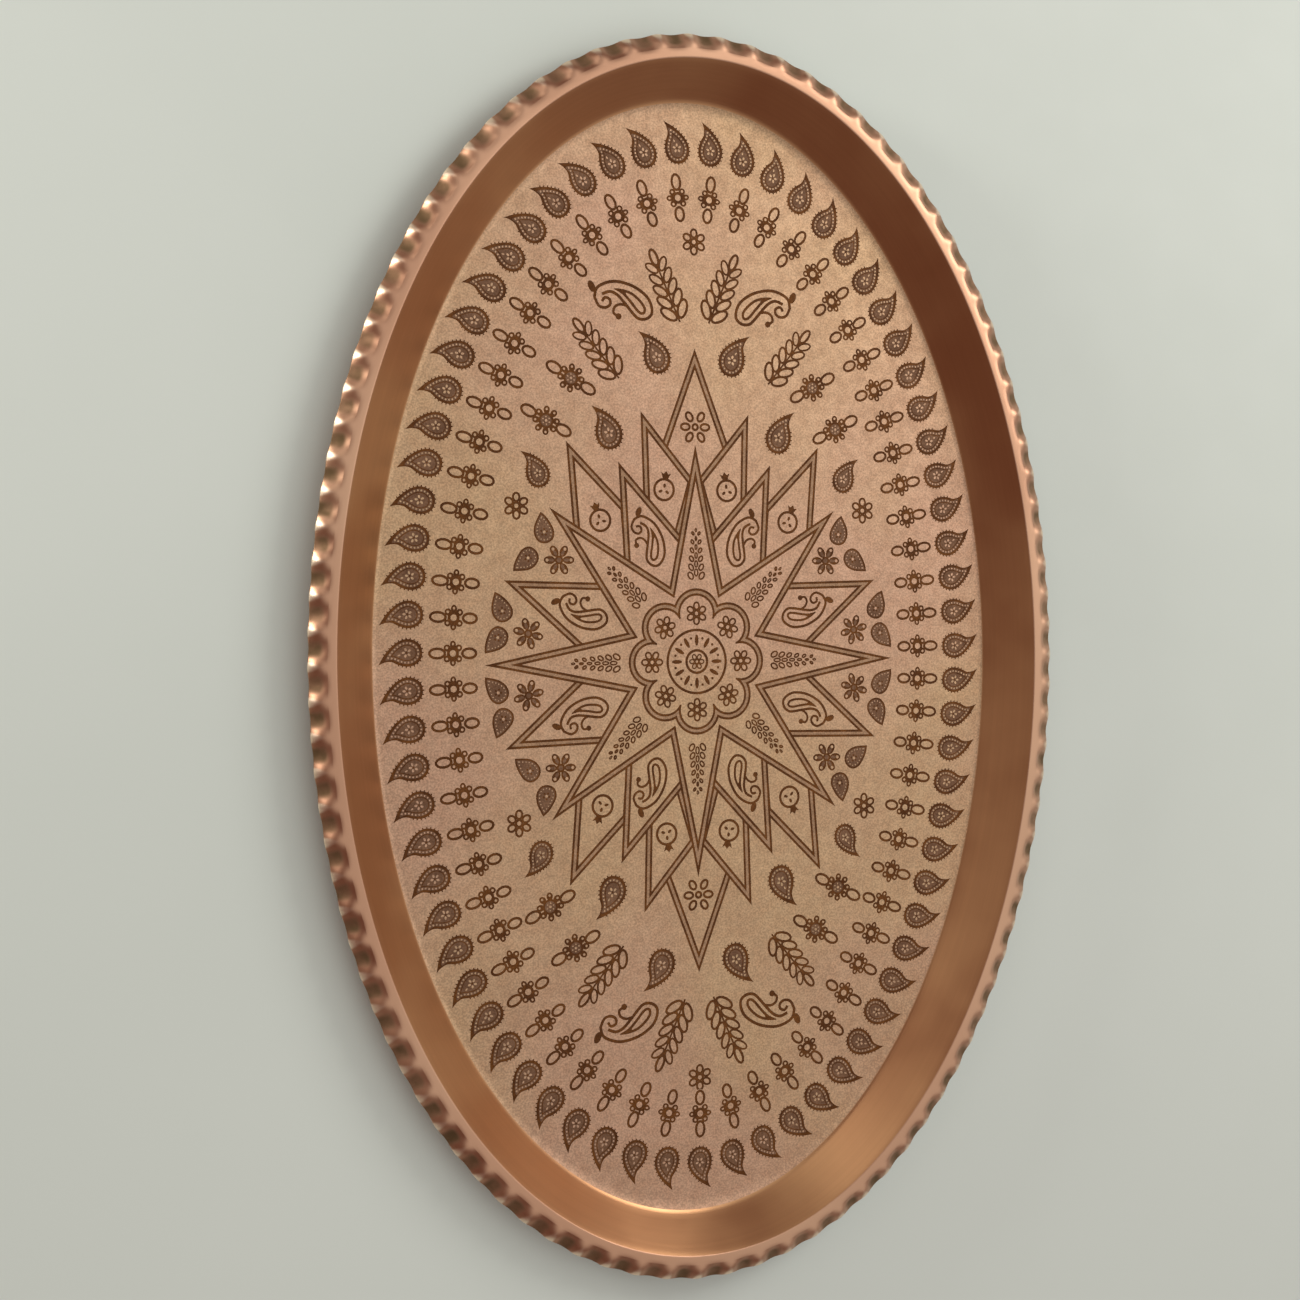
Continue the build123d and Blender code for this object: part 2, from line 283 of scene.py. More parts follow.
def full_blossom():
    """A crowded flower between two wide loops."""
    marks = ringed(7.3, 0, 3.4, 2.3) + ringed(-7.3, 0, 3.4, 2.3)
    for i in range(8):
        turn = 45 * i + 22
        marks += [(DARK, oval(*polar(3.8, turn), 1.45, 1.2, turn)),
                  (BARE, oval(*polar(4.1, turn), 0.45, count=8))]
    marks += [(DARK, oval(0, 0, 2.9)), (TINT, oval(0, 0, 2.1))]
    marks += [(BARE, oval(*polar(1.35, 60 * i), 0.3, count=6)) for i in range(6)]
    return marks + [(BARE, oval(0, 0, 0.5, count=8))]


def open_flower():
    """Six round petals, drawn with a line."""
    marks = []
    for i in range(6):
        marks += ringed(*polar(3.1, 60 * i), 1.9, 1.6, 60 * i, width=0.8)
    return marks + [(DARK, oval(0, 0, 1.6)), (BARE, oval(0, 0, 0.8, count=8))]


def dot_flower():
    """Six narrow petals with a dot at the end of each, about a tinted middle."""
    marks = []
    for i in range(6):
        marks += [(DARK, oval(*polar(3.6, 60 * i), 2.2, 1.45, 60 * i)),
                  (TINT, oval(*polar(2.9, 60 * i), 1.1, 0.6, 60 * i, count=10)),
                  (BARE, oval(*polar(4.5, 60 * i), 0.6, count=8))]
    return marks + [(DARK, oval(0, 0, 1.6)), (TINT, oval(0, 0, 0.9, count=10))]


def kite_flower():
    """Two petals to the sides and four more upright ones."""
    marks = ringed(3.9, 0, 2.2, 1.65, width=0.9) + ringed(-3.9, 0, 2.2, 1.65, width=0.9)
    for x in (-2.3, 2.3):
        for y in (-3.7, 3.7):
            marks += ringed(x, y, 2.2, 1.65, math.degrees(math.atan2(y, x)), width=0.9)
    return marks + [(DARK, oval(0, 0, 1.5)), (BARE, oval(0, 0, 0.6, count=10))]


def sprig():
    """A stem along +Y with five pairs of leaves and one more at its tip."""
    marks = stroke([(0, 0), (0, 19.5)], 0.6)
    for i in range(5):
        size = 1 - 0.06 * i
        for side in (-1, 1):
            leaf = ringed(0, 3.2, 1.9, 3.4, width=0.85)
            marks += placed(leaf, side * 0.5, 1.0 + 3.9 * i, -38 * side, size)
    return marks + ringed(0, 21.3, 1.6, 3.0, width=0.85)


def small_paisley():
    """A plain tinted paisley."""
    edge = smooth([
        (1.3, 7.2), (-0.7, 5.6), (-2.6, 3.0), (-3.8, 0.2), (-3.2, -2.6), (-0.6, -4.0), (2.2, -3.4),
        (3.8, -0.8), (3.7, 2.2), (2.6, 4.8), (1.3, 7.2),
    ], closed=False)[:-1]
    marks = [(DARK, edge), (TINT, shifted(edge, 0.65))]
    marks += [(BARE, oval(at.x, at.y, 0.26, count=6)) for at, _ in along(shifted(edge, 1.25), 1.2)]
    marks += [(DARK, oval(*polar(1.1, 72 * i + 20), 0.4, count=6)) for i in range(5)]
    return marks + [(BARE, oval(0, 0, 0.55, count=8))]


def curled_boteh():
    """A long boteh lying on its side: an outer line that ends in a curled head, a drop inside it and a
    hook. It is drawn where it lies on the tray, then moved so that its heart is the middle."""
    body = smooth([
        (38.9, 131.0), (38.2, 134.3), (35.6, 136.2), (31.6, 137.3), (27.2, 136.9), (22.8, 135.4),
        (18.7, 132.5), (16.9, 129.2), (16.9, 126.2), (19.1, 124.4), (22.0, 124.4), (24.2, 126.2),
        (27.2, 129.6), (30.1, 132.5), (33.0, 133.6), (36.0, 132.5),
    ], closed=False)
    drop = smooth([
        (31.6, 134.7), (27.9, 134.7), (24.2, 133.6), (20.9, 131.0), (19.1, 128.4),
        (19.5, 126.2), (21.3, 125.9), (23.1, 127.3), (25.3, 129.9), (28.3, 132.9),
    ])
    curl = smooth([
        (38.9, 131.4), (37.4, 128.4), (34.9, 127.7), (33.0, 128.8), (33.0, 130.7), (34.9, 131.4),
        (36.0, 129.9),
    ], closed=False)
    hook = smooth([(26.4, 128.8), (29.0, 129.2), (31.2, 128.1), (31.6, 125.9), (29.4, 124.8)], closed=False)
    marks = stroke(body, 1.12) + outlined(drop, width=1.0) + stroke(curl, 1.05) + stroke(hook, 1.0)
    marks += [(DARK, oval(40.0, 135.1, 2.2, 1.3, 65)), (DARK, oval(29.7, 124.8, 1.2, count=8))]
    return placed(marks, *[-v for v in boteh_heart])


def pomegranate():
    """A round fruit with a small crown and three seeds."""
    crown = [(-0.9, 3.8), (-2.0, 6.3), (-0.9, 5.7), (0, 6.9), (0.9, 5.7), (2.0, 6.3), (0.9, 3.8)]
    marks = ringed(0, 0, 4.3, count=24) + [(DARK, crown)]
    return marks + [(DARK, oval(*polar(1.5, 90 + 120 * i), 0.55, 0.85, 120 * i, count=8)) for i in range(3)]


def ear():
    """An ear of small leaves along +Y, three abreast and narrowing to its tip."""
    marks = []
    for i in range(6):
        size = 1 - 0.09 * i
        for side in (-1, 1):
            marks += ringed(side * 2.2 * size, 3.1 * i, 1.25 * size, 1.75 * size, -32 * side,
                            width=0.65, count=10)
        marks += ringed(0, 3.1 * i + 1.2, 0.95 * size, 1.6 * size, width=0.6, count=10)
    return marks


def medallion():
    """A ring with a sunburst inside it."""
    marks = ringed(0, 0, medallion_radius + line / 2, count=64)
    for i in range(12):
        marks += [(DARK, oval(*polar(7.9, 30 * i), 2.1, 0.75, 30 * i, count=10)),
                  (DARK, oval(*polar(8.8, 30 * i + 15), 0.5, count=8))]
    marks += ringed(0, 0, 4.6, count=32)
    return marks + placed(open_flower(), size=0.62)


# ---- which motif goes where, millimetres from the middle of the star ----
def centre_drawing():
    """Every mark of the floor except the two rings, as (family, kind, corners), back to front."""
    drawn = []

    def draw(family, marks):
        drawn.extend((family, kind, [(x, y + star_y) for x, y in corners]) for kind, corners in marks)

    for x, y, turn, size in ((5.7, 124.0, -24, 1.17), (29.7, 102.6, -40, 1.12)):
        draw("leaf_sprig", quarters(placed(sprig(), x, y, turn, size)))
    draw("curled_boteh", quarters(placed(curled_boteh(), *boteh_heart)))
    for x, y, turn, size in ((14.9, 110.8, -15, 1.07), (33.8, 82.9, -11, 1.07), (60.9, 67.9, -16, 0.92)):
        draw("serrated_paisley", quarters(placed(paisley(), x, y, turn, size)))
    for x, y, turn in ((48.1, 102.0, 29), (57.6, 86.6, 27)):
        draw("loop_blossom", quarters(placed(full_blossom(), x, y, turn)))
    for y in (153.4, -153.4):
        draw("open_flower", placed(open_flower(), 0.0, y, 30))
    draw("open_flower", quarters(placed(open_flower(), 69.0, 56.2, 30)))
    for x, y, turn in ((58.7, 47.0, 0), (64.8, 37.8, -119), (74.5, 19.1, -12), (76.3, 9.7, -129)):
        draw("small_paisley", quarters(placed(small_paisley(), x, y, turn)))
    draw("dot_flower", quarters(placed(dot_flower(), 53.2, 37.1)))
    draw("dot_flower", quarters(placed(dot_flower(), 65.0, 11.0, 15)))
    for cell in cells:
        draw("cell_line", quarters(ribbon(cell)))
    draw("open_flower", placed(kite_flower(), 0.0, 85.9) + placed(kite_flower(), 0.0, -85.9))
    fruits = placed(pomegranate(), 12.5, 62.8, 8) + placed(pomegranate(), 37.4, 51.4, -20)
    draw("cell_fruit", quarters(fruits))
    draw("cell_boteh", quarters(placed(curled_boteh(), 16.3, 38.5, 49, 0.84)))
    draw("cell_boteh", quarters(placed(curled_boteh(), 38.5, 16.1, -139, 0.84, flip=-1)))
    right = star_corners + [(x, -y) for x, y in reversed(star_corners[:-1])]
    draw("star_line", ribbon(right + [(-x, y) for x, y in reversed(right[1:-1])]))
    for i in range(8):
        draw("bead_row", placed(ear(), *polar(31.5, 45 * i), 45 * i - 90))
    lobes = [ribbon(oval(*polar(lobe_reach, 45 * i), lobe_radius, count=40)) for i in range(8)]
    for layer in zip(*lobes):
        draw("rosette_line", layer)
    draw("rosette_line", [(BARE, oval(0, 0, lobe_reach - 0.7, count=48))])
    for i in range(8):
        draw("rosette_flower", placed(open_flower(), *polar(lobe_reach, 45 * i), 45 * i, 0.88))
    draw("medallion", medallion())
    return drawn


# ---- geometry ----
def facing_up(corners):
    """The corners in counterclockwise order."""
    return corners if signed_area(corners) > 0 else corners[::-1]


def cut(outline, holes, marks):
    """Splits the area inside an outline along every mark. Returns its corners, its triangles, and for each
    triangle the number of the mark on top, or -1 where it is bare. Holes are left open."""
    polygons = [facing_up(p) for p in [outline] + holes + marks]
    starts = np.cumsum([0] + [len(p) for p in polygons])
    corners = [Vector(c) for p in polygons for c in p]
    faces = [list(range(a, b)) for a, b in zip(starts, starts[1:])]
    only_inside, closest = 1, 1e-4
    points, _, triangles, _, _, owners = delaunay_2d_cdt(corners, [], faces, only_inside, closest, True)
    front = np.array([max(o) for o in owners]) - 1 - len(holes)
    keep = [i for i, o in enumerate(owners) if not any(1 <= k <= len(holes) for k in o)]
    return np.array([tuple(p) for p in points]), np.array(triangles)[keep], front[keep]


def relief(points, triangles, height, base=None):
    """A stepped surface in which each triangle lies at its own height, as corners and faces. With a base
    it is closed below. Every face also gets the number of the triangle it belongs to."""
    levels = sorted(set(height.tolist()) | ({base} if base is not None else set()))
    level = {z: i for i, z in enumerate(levels)}
    tops = [level[z] for z in height.tolist()]
    used = {}
    corners, faces, owner = [], [], []

    def corner(p, k):
        if (p, k) not in used:
            used[p, k] = len(corners)
            corners.append((points[p][0], points[p][1], levels[k]))
        return used[p, k]

    for n, (tri, k) in enumerate(zip(triangles.tolist(), tops)):
        faces.append([corner(p, k) for p in tri])
        owner.append(n)
    if base is not None:
        for n, tri in enumerate(triangles.tolist()):
            faces.append([corner(p, level[base]) for p in reversed(tri)])
            owner.append(n)
    sides = {}
    for n, (a, b, c) in enumerate(triangles.tolist()):
        for edge in ((a, b), (b, c), (c, a)):
            sides[edge] = n
    for (a, b), n in sides.items():
        other = sides.get((b, a))
        if other is None and base is None:
            continue
        low = level[base] if other is None else tops[other]
        if tops[n] > low:
            down = [used[b, k] for k in range(tops[n], low - 1, -1) if (b, k) in used]
            up = [used[a, k] for k in range(low, tops[n] + 1) if (a, k) in used]
            faces.append((down + up)[::-1])
            owner.append(n)
    return np.array(corners), faces, np.array(owner)


def copied(corners, faces, owner, places):
    """The same piece of mesh at many (x, y, turn) places."""
    every, every_face = [], []
    for x, y, turn in places:
        c, s = math.cos(turn), math.sin(turn)
        start = len(every) * len(corners)
        every.append(corners @ np.array([[c, s, 0], [-s, c, 0], [0, 0, 1]]) + (x, y, 0))
        every_face += [[start + i for i in face] for face in faces]
    return np.concatenate(every), every_face, np.tile(owner, len(places))


def joined(parts):
    """Several (corners, faces, slots) as one."""
    corners, faces, slots = [], [], []
    start = 0
    for part_corners, part_faces, part_slots in parts:
        corners.append(part_corners)
        faces += [[start + i for i in face] for face in part_faces]
        slots.append(part_slots)
        start += len(part_corners)
    return np.concatenate(corners), faces, np.concatenate(slots)


def solid(name, corners, faces, slots, materials, pressed=None, weld=0.0):
    """A mesh object from millimetre corners, smooth except at its real edges."""
    mesh = bpy.data.meshes.new(name)
    mesh.from_pydata((corners * MM).tolist(), [], faces)
    mesh.polygons.foreach_set("material_index", slots.astype(np.int32))
    for material in materials:
        mesh.materials.append(material)
    if pressed is not None:
        values = np.zeros(len(corners), np.float32)
        values[:len(pressed)] = pressed
        mesh.attributes.new("pressed", "FLOAT", "POINT").data.foreach_set("value", values)
    if weld:
        welded = bmesh.new()
        welded.from_mesh(mesh)
        bmesh.ops.remove_doubles(welded, verts=welded.verts, dist=weld * MM)
        welded.to_mesh(mesh)
        welded.free()
    mesh.shade_smooth()
    mesh.set_sharp_from_angle(angle=sharp_edge)
    normals, centres = np.empty(3 * len(mesh.polygons)), np.empty(3 * len(mesh.polygons))
    mesh.polygons.foreach_get("normal", normals)
    mesh.polygons.foreach_get("center", centres)
    # the level faces of the floor stay flat, so its grooves cast no false shading over them
    level = (np.abs(normals[2::3]) > 0.99999) & (centres[2::3] < lip_top * MM / 2)
    mesh.polygons.foreach_set("use_smooth", ~level)
    thing = bpy.data.objects.new(name, mesh)
    bpy.context.scene.collection.objects.link(thing)
    return thing


def ellipse_places(a, b, count, phase=0.0):
    """Evenly spaced (x, y, outward direction) along an ellipse."""
    turns = np.linspace(0, 2 * math.pi, 7201)
    x, y = a * np.cos(turns), b * np.sin(turns)
    walked = np.concatenate([[0], np.cumsum(np.hypot(np.diff(x), np.diff(y)))])
    at = np.interp((np.arange(count) + phase) / count * walked[-1], walked, turns)
    return [(a * math.cos(t), b * math.sin(t), math.atan2(a * math.sin(t), b * math.cos(t))) for t in at]


def rim_stations():
    """Places round the outer edge of the level band, each (x, y, outward direction, depth of the crimp
    there from 0 on a ridge to 1)."""
    places = ellipse_places(band_a, band_b, crimp_count * crimp_columns)
    depths = [math.sin(math.pi * k / crimp_columns) ** crimp_width for k in range(crimp_columns)]
    return [(*place, depths[i % crimp_columns]) for i, place in enumerate(places)]


def arc(x, z, radius, start, end, count):
    """Points of a profile round an arc, angles in degrees."""
    angles = [math.radians(start + (end - start) * i / count) for i in range(count + 1)]
    return [(x + radius * math.cos(a), z + radius * math.sin(a)) for a in angles]


def profile(wall_run, bend):
    """The sheet's upper side from the flat floor to the outer edge of the level band, as (distance outward
    from that edge, height)."""
    slope = math.degrees(math.atan2(lip_top - sheet, wall_run))
    foot = -lip_band - wall_run
    tangent = bend * math.tan(math.radians(slope / 2))
    points = arc(foot - tangent, sheet + bend, bend, -90, slope - 90, bend_steps)
    tangent = lip_rounding * math.tan(math.radians(slope / 2))
    top = arc(-lip_band + tangent, lip_top - lip_rounding, lip_rounding, slope + 90, 90, 4)
    (x0, z0), (x1, z1) = points[-1], top[0]
    for k in range(1, wall_steps):
        points.append((x0 + (x1 - x0) * k / wall_steps, z0 + (z1 - z0) * k / wall_steps))
    return points + top + [(-lip_band / 2, lip_top), (0.0, lip_top)]


# how far across the flank its rows of corners lie; closer together at its two edges
FLANK_SHARES = (0.03, 0.07, 0.12, 0.18, 0.26, 0.35, 0.45, 0.55, 0.65, 0.75, 0.83, 0.9, 0.95, 0.98)


def flank_profile(crimp):
    """The upper side beyond the band, from a ridge that rolls over (crimp 0) to a hollow that falls away at
    once (crimp 1)."""
    points = []
    for share in FLANK_SHARES:
        hollow = 1 - (1 - share) ** crimp_hollow
        drop = ridge_drop * share ** ridge_roll * (1 - crimp) + hollow * crimp
        points.append((flank_run * share - crimp_inset * crimp * share ** 2, lip_top - flank_drop * drop))
    return points


def rim():
    """The bend, wall, lip and flank, all the way round and on both sides of the sheet, how far each corner
    is pressed into a crimp (1) or stands up on the end of a ridge (-1), and the ring of corners where the
    flat floor begins, above and below."""
    stations = rim_stations()
    columns, pressed = [], []
    for x, y, outward, crimp in stations:
        c, s = math.cos(outward), math.sin(outward)
        wall_run = wall_run_y + (wall_run_x - wall_run_y) * c * c
        inside = profile(wall_run, bend_radius + bend_widening * s * s)
        upper = inside + flank_profile(crimp)
        edge, z_edge = upper[-1]
        # the rounded outer edge of the sheet
        turned = [(edge + 0.1, z_edge - 0.2), (edge + 0.12, z_edge - 0.4),
                  (edge + 0.07, z_edge - sheet + 0.1)]
        lower = [(reach, z - sheet) for reach, z in reversed(upper)]
        columns.append([(x + c * reach, y + s * reach, z) for reach, z in upper + turned + lower])
        pressed += [0.0] * len(inside)
        # these values also colour the lip: a painted highlight on the ridge ends, a darker brown in the
        # crimps
        for share in (*FLANK_SHARES, *[1] * len(turned)):
            pressed.append(crimp * min(share / crimp_dark_reach, 1) - ((1 - crimp) * share) ** 2)
        pressed += [0.0] * len(lower)
    rows = len(columns[0])
    corners = np.array(columns).reshape(-1, 3)
    count = len(columns)
    faces, slots = [], []
    wall_rows, lip_rows = bend_steps + wall_steps, len(upper + turned)
    for i in range(count):
        j = (i + 1) % count
        for k in range(rows - 1):
            faces.append([i * rows + k, i * rows + k + 1, j * rows + k + 1, j * rows + k])
            if k < grained_rows:
                slots.append(FLOOR)
            elif k < wall_rows:
                slots.append(WALL)
            elif k < lip_rows:
                slots.append(LIP)
            else:
                slots.append(UNDERSIDE)
    return corners, faces, np.array(slots), pressed, corners[0::rows, :2], corners[rows - 1::rows, :2]


def tile(marks, grow=0.2):
    """The smallest outline with no hollows that holds every mark, a little larger."""
    corners = [Vector(c) for _, points in marks for c in points]
    hull = [corners[i] for i in convex_hull_2d(corners)]
    spread = [c + Vector(polar(grow, 60 * i)) for c in hull for i in range(6)]
    return [tuple(spread[i]) for i in convex_hull_2d(spread)]


def floor_part(found, kinds):
    """A stretch of etched floor: copper above, grooves where a mark is cut."""
    points, triangles, front = found
    etched = np.array([k >= 0 and kinds[k] != BARE for k in front])
    corners, faces, _ = relief(points, triangles, np.where(etched, floor_top - groove_depth, floor_top))
    level = np.array([all(corners[i][2] == floor_top for i in face) for face in faces])
    return corners, faces, np.where(level, FLOOR, GROOVE)


def inlay_part(found, kinds, families, family):
    """The inlay of one family of motifs in that stretch of floor."""
    points, triangles, front = found
    mine = np.array([k >= 0 and kinds[k] != BARE and families[k] == family for k in front])
    front = front[mine]
    height = np.array([HEIGHTS[kinds[k]] for k in front])
    corners, faces, owner = relief(points, triangles[mine], height, base=floor_top - inlay_base)
    return corners, faces, np.array([kinds[front[n]] - 1 for n in owner])


# ---- materials ----
FLOOR_GOLD = (0.545, 0.37, 0.22)
FLOOR_ROSY = (0.555, 0.352, 0.24)
FLOOR_DEEP = (0.45, 0.28, 0.175)
GROOVE_DEEP = (0.10, 0.04, 0.02)
GROOVE_PALE = (0.25, 0.12, 0.06)
WALL_PALE = (0.54, 0.305, 0.15)
WALL_DEEP = (0.46, 0.235, 0.115)
LIP_PALE = (0.56, 0.335, 0.215)
LIP_DEEP = (0.49, 0.27, 0.17)
# painted highlight: a near-white colour for the ends of the lip's ridges
RIDGE_HIGHLIGHT = (0.92, 0.76, 0.58)
# a darker brown for the crimps of the lip
CRIMP_DARK = (0.165, 0.11, 0.055)
UNDER_PALE = (0.55, 0.30, 0.18)
UNDER_DEEP = (0.42, 0.21, 0.12)
DARK_INLAY = ((0.165, 0.060, 0.013), (0.092, 0.031, 0.007))     # each pale, then deep
TINT_INLAY = ((0.22, 0.118, 0.066), (0.155, 0.078, 0.042))
WASH_INLAY = ((0.42, 0.26, 0.155), (0.35, 0.21, 0.12))


class Nodes:
    """A few shorthands for building one node material."""

    def __init__(self, name):
        self.material = bpy.data.materials.new(name)
        self.material.use_nodes = True
        self.tree = self.material.node_tree
        self.shader = self.tree.nodes["Principled BSDF"]
        self.place = self.tree.nodes.new("ShaderNodeTexCoord").outputs["Object"]

    def add(self, kind, settings=None, **inputs):
        new = self.tree.nodes.new(kind)
        for key, value in (settings or {}).items():
            setattr(new, key, value)
        for key, value in inputs.items():
            socket = new.inputs[int(key[1:])] if key[0] == "i" and key[1:].isdigit() else new.inputs[key]
            if isinstance(value, bpy.types.NodeSocket):
                self.tree.links.new(value, socket)
            else:
                socket.default_value = value
        return new

    def noise(self, scale, detail=3.0, stretch=(1, 1, 1), rough=0.5):
        """Grey noise of about `scale` waves to the metre."""
        at = self.add("ShaderNodeMapping", Vector=self.place, Scale=stretch).outputs[0]
        waves = self.add("ShaderNodeTexNoise", Vector=at, Scale=scale, Detail=detail, Roughness=rough)
        return waves.outputs["Fac"]

    def spread(self, value, low, high, start=0.3, end=0.7):
        """A value carried from `start`..`end` to `low`..`high`."""
        carried = self.add("ShaderNodeMapRange", {"interpolation_type": "SMOOTHSTEP"},
                           i0=value, i1=start, i2=end, i3=low, i4=high)
        return carried.outputs[0]

    def mix(self, share, a, b, blend="MIX"):
        """A colour between a and b."""
        new = self.add("ShaderNodeMix", {"data_type": "RGBA", "blend_type": blend}, i0=share)
        for socket, value in ((new.inputs[6], a), (new.inputs[7], b)):
            if isinstance(value, bpy.types.NodeSocket):
                self.tree.links.new(value, socket)
            else:
                socket.default_value = (*value, 1)
        return new.outputs[2]

    def grey(self, value):
        """A value as a colour."""
        return self.add("ShaderNodeCombineColor", i0=value, i1=value, i2=value).outputs[0]

    def bump(self, height, strength, distance, under=None):
        """A normal raised by a height, on top of another one where it is given."""
        new = self.add("ShaderNodeBump", Height=height, Strength=strength, Distance=distance)
        if under is not None:
            self.tree.links.new(under, new.inputs["Normal"])
        return new.outputs[0]

    def finish(self, colour, roughness, normal=None, **constants):
        """The finished material; constants are set on the shader's own sockets."""
        self.tree.links.new(colour, self.shader.inputs["Base Color"])
        self.tree.links.new(roughness, self.shader.inputs["Roughness"])
        if normal is not None:
            self.tree.links.new(normal, self.shader.inputs["Normal"])
        for key, value in constants.items():
            self.shader.inputs[key.replace("_", " ")].default_value = value
        return self.material


def etched_copper():
    """The matte, finely grained floor: golden and rosy patches under a fine speckle."""
    n = Nodes("floor_copper")
    tone = n.mix(n.spread(n.noise(7, 2), 0, 1, 0.38, 0.62), FLOOR_ROSY, FLOOR_GOLD)
    tone = n.mix(n.spread(n.noise(45, 4), 0, 0.35), tone, FLOOR_DEEP)
    speckle = n.spread(n.noise(1500, 2), 0.80, 1.16, 0.3, 0.7)
    tone = n.mix(1.0, tone, n.grey(speckle), "MULTIPLY")
    fleck = n.spread(n.noise(520, 4), 0.95, 1.04, 0.35, 0.65)
    tone = n.mix(1.0, tone, n.grey(fleck), "MULTIPLY")
    rough = n.spread(n.noise(260, 4), 0.56, 0.66)
    normal = n.bump(n.noise(1300, 3), 0.22, 0.0002, n.bump(n.noise(28, 2), 0.10, 0.002))
    return n.finish(tone, rough, normal, Metallic=1.0)


def groove_copper():
    """The cut edge of a groove, darkened by the etching."""
    n = Nodes("groove_copper")
    tone = n.mix(n.spread(n.noise(900, 3), 0, 1), GROOVE_DEEP, GROOVE_PALE)
    rough = n.spread(n.noise(700, 3), 0.45, 0.65)
    return n.finish(tone, rough, n.bump(n.noise(1500, 3), 0.2, 0.0001), Metallic=0.9)


def drawn_copper(name, pale, deep, smoothest, roughest, ridge_highlight=None):
    """Pressed and brushed copper. The brushing runs round the tray; with a ridge highlight colour, the
    ridge ends take that paler colour as a painted highlight, and the crimps turn a darker brown.
    """
    n = Nodes(name)
    tone = n.mix(n.spread(n.noise(11, 3), 0, 1, 0.35, 0.65), deep, pale)
    strands = n.noise(7, 5, (1.0, 1.0, 160.0), 0.7)
    tone = n.mix(1.0, tone, n.grey(n.spread(strands, 0.97, 1.03)), "MULTIPLY")
    if ridge_highlight:
        pressed = n.add("ShaderNodeAttribute", {"attribute_name": "pressed"}).outputs["Fac"]
        # painted highlight: the ends of the ridges turn paler, towards near white
        tone = n.mix(n.spread(pressed, 0.85, 0, -0.6, -0.05), tone, ridge_highlight)
        # the crimps turn a darker brown, and rougher
        crimp_dark = n.add("ShaderNodeMath", {"operation": "MULTIPLY"}, i0=n.spread(pressed, 0, 1, 0.25, 0.95),
                       i1=n.spread(n.noise(140, 3), 0.55, 0.95)).outputs[0]
        tone = n.mix(crimp_dark, tone, CRIMP_DARK)
    rough = n.spread(n.noise(22, 3), smoothest, roughest)
    if ridge_highlight:
        rougher = n.add("ShaderNodeMath", {"operation": "MULTIPLY_ADD"}, i0=crimp_dark, i1=0.3, i2=rough)
        rough = rougher.outputs[0]
    normal = n.bump(strands, 0.05, 0.0003, n.bump(n.noise(60, 3), 0.05, 0.001))
    return n.finish(tone, rough, normal, Metallic=1.0)


def inlay(name, pale, deep):
    """Dark brown filling of the etched lines, dull and a little uneven."""
    n = Nodes(name)
    tone = n.mix(n.spread(n.noise(160, 4), 0, 1), deep, pale)
    tone = n.mix(1.0, tone, n.grey(n.spread(n.noise(1400, 3), 0.75, 1.2)), "MULTIPLY")
    rough = n.spread(n.noise(500, 3), 0.5, 0.75)
    normal = n.bump(n.noise(1200, 3), 0.3, 0.0001)
    return n.finish(tone, rough, normal, Specular_IOR_Level=0.12, Metallic=0.15)


copper_materials = [
    etched_copper(),
    groove_copper(),
    drawn_copper("wall_copper", WALL_PALE, WALL_DEEP, smoothest=0.30, roughest=0.38),
    # the lip gets a painted highlight on its ridge ends and a darker brown in its crimps
    drawn_copper("lip_copper", LIP_PALE, LIP_DEEP, smoothest=0.36, roughest=0.46, ridge_highlight=RIDGE_HIGHLIGHT),
    drawn_copper("underside_copper", UNDER_PALE, UNDER_DEEP, smoothest=0.34, roughest=0.48),
]
inlay_materials = [
    inlay("dark_inlay", *DARK_INLAY),
    inlay("tint_inlay", *TINT_INLAY),
    inlay("wash_inlay", *WASH_INLAY),
]

# ---- the floor, cut once for each ring motif and once for everything else ----
rim_corners, rim_faces, rim_slots, pressed, floor_edge, base_edge = rim()

drawing = centre_drawing()
paisley_places = ellipse_places(*paisley_ring, paisley_count, paisley_phase)
loop_places = ellipse_places(*loop_ring, loop_count, loop_phase)
ring_motifs = {
    "outer_paisley": (placed(paisley(), flip=-1), paisley_places),
    "loop_flower": (looped_flower(), loop_places),
}

copper_parts = [(rim_corners, rim_faces, rim_slots)]
inlays = {}
holes = []
for family, (marks, places) in ring_motifs.items():
    outline = tile(marks)
    upright = [(x, y + ring_y, outward - math.pi / 2) for x, y, outward in places]
    for x, y, turn in upright:
        [(_, hole)] = placed([(BARE, outline)], x, y, math.degrees(turn))
        holes.append(hole)
    kinds = [kind for kind, _ in marks]
    found = cut(outline, [], [corners for _, corners in marks])
    copper_parts.append(copied(*floor_part(found, kinds), upright))
    inlays[family] = copied(*inlay_part(found, kinds, [family] * len(kinds), family), upright)

found = cut([tuple(c) for c in floor_edge], holes, [corners for *_, corners in drawing])
kinds = [kind for _, kind, _ in drawing]
families = [family for family, *_ in drawing]
copper_parts.append(floor_part(found, kinds))
for family in dict.fromkeys(families):
    inlays[family] = inlay_part(found, kinds, families, family)

points, triangles, _ = cut([tuple(c) for c in base_edge], [], [])
below = np.column_stack([points, np.zeros(len(points))])
copper_parts.append((below, triangles[:, ::-1].tolist(), np.full(len(triangles), UNDERSIDE)))

pan = solid("pan", *joined(copper_parts), copper_materials, pressed, weld=0.001)
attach(pan, "root")
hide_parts("tray_pan")

for family, part in inlays.items():
    piece = solid(f"{family}_inlay", *part, inlay_materials)
    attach(piece, "root")
    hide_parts(f"{family}_fill")

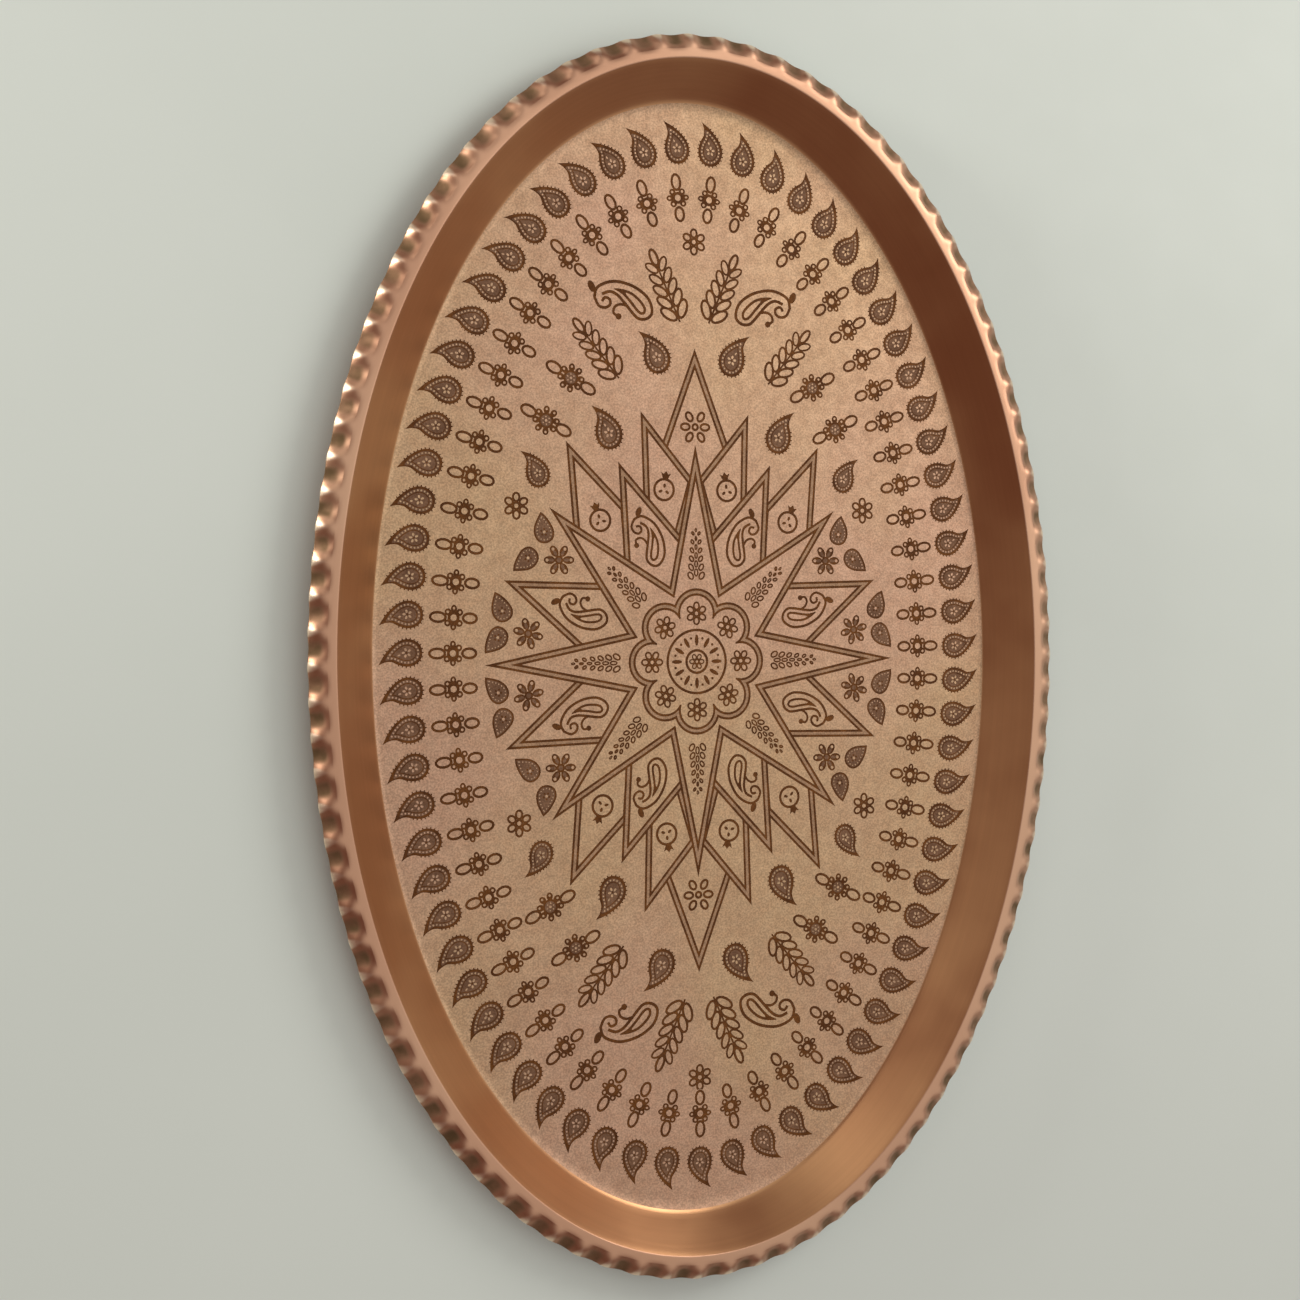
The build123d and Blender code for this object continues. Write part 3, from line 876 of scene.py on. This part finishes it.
# ---- the surface it lies on, the light and the camera ----
GROUND_COOL = (0.655, 0.715, 0.66)
GROUND_WARM = (0.685, 0.745, 0.69)
GROUND_REACH = 4         # metres from the middle to each side
GROUND_LEVEL = -0.0002   # just clear of the tray's underside
SKY_FROM = 0.35          # where the sky turns from its dim side to its bright one
SKY_TO = 0.95


def stage_floor():
    """A plain pale surface under the tray."""
    n = Nodes("pale_floor")
    tone = n.mix(n.spread(n.noise(2.2, 3), 0, 1, 0.4, 0.6), GROUND_COOL, GROUND_WARM)
    material = n.finish(tone, n.spread(n.noise(40, 4), 0.75, 0.9), n.bump(n.noise(400, 3), 0.03, 0.0005))
    mesh = bpy.data.meshes.new("ground")
    sides = ((-1, -1), (1, -1), (1, 1), (-1, 1))
    corners = [(x * GROUND_REACH, y * GROUND_REACH, GROUND_LEVEL) for x, y in sides]
    mesh.from_pydata(corners, [], [(0, 1, 2, 3)])
    mesh.materials.append(material)
    ground = bpy.data.objects.new("ground", mesh)
    bpy.context.scene.collection.objects.link(ground)


def sky(toward, low, high):
    """Even soft light that is brighter and whiter on one side and dim and warm on the other."""
    world = bpy.data.worlds.new("studio")
    world.use_nodes = True
    tree = world.node_tree
    place = tree.nodes.new("ShaderNodeTexCoord")
    facing = tree.nodes.new("ShaderNodeVectorMath")
    facing.operation = "DOT_PRODUCT"
    facing.inputs[1].default_value = Vector(toward).normalized()
    tree.links.new(place.outputs["Generated"], facing.inputs[0])
    share = tree.nodes.new("ShaderNodeMapRange")
    share.interpolation_type = "SMOOTHSTEP"
    share.inputs[1].default_value = SKY_FROM
    share.inputs[2].default_value = SKY_TO
    tree.links.new(facing.outputs["Value"], share.inputs[0])
    blend = tree.nodes.new("ShaderNodeMix")
    blend.data_type = "RGBA"
    blend.inputs[6].default_value = (*low, 1)
    blend.inputs[7].default_value = (*high, 1)
    tree.links.new(share.outputs[0], blend.inputs[0])
    tree.links.new(blend.outputs[2], tree.nodes["Background"].inputs[0])
    bpy.context.scene.world = world


def lamp(name, at, aim, size, power, colour):
    """A round soft lamp at one point, facing another. Metres and watts."""
    light = bpy.data.lights.new(name, "AREA")
    light.shape = "DISK"
    light.size = size
    light.energy = power
    light.color = colour
    thing = bpy.data.objects.new(name, light)
    thing.location = at
    thing.rotation_euler = (Vector(at) - Vector(aim)).to_track_quat("Z", "Y").to_euler()
    bpy.context.scene.collection.objects.link(thing)


def camera(at, right, up, back, view):
    """The camera, from its place, its three axes and its angle of view in degrees."""
    data = bpy.data.cameras.new("camera")
    data.angle = math.radians(view)
    thing = bpy.data.objects.new("camera", data)
    thing.matrix_world = Matrix.Translation(at) @ Matrix((right, up, back)).transposed().to_4x4()
    bpy.context.scene.collection.objects.link(thing)
    bpy.context.scene.camera = thing


stage_floor()
sky(toward=(0.50, 0.0, 0.86), low=(0.20, 0.10, 0.08), high=(0.90, 0.90, 0.88))
lamp("key", at=(0.68, 0.48, 0.62), aim=(0, 0, 0), size=0.5, power=3.4, colour=(1.0, 0.98, 0.95))
lamp("side", at=(-1.02, 0.52, 0.19), aim=(0, 0.05, 0), size=0.25, power=5.5, colour=(1.0, 0.98, 0.92))
lamp("accent", at=(-0.42, 0.70, 0.58), aim=(0, -0.1, 0), size=0.5, power=0.8, colour=(0.94, 1.0, 0.96))
camera(at=(-0.2772, 0.0178, 0.6404), right=(0.927, -0.0078, 0.3751), up=(0.0149, 0.9998, -0.016),
       back=(-0.3749, 0.0204, 0.9269), view=37.8)
bpy.context.scene.view_settings.view_transform = "Standard"
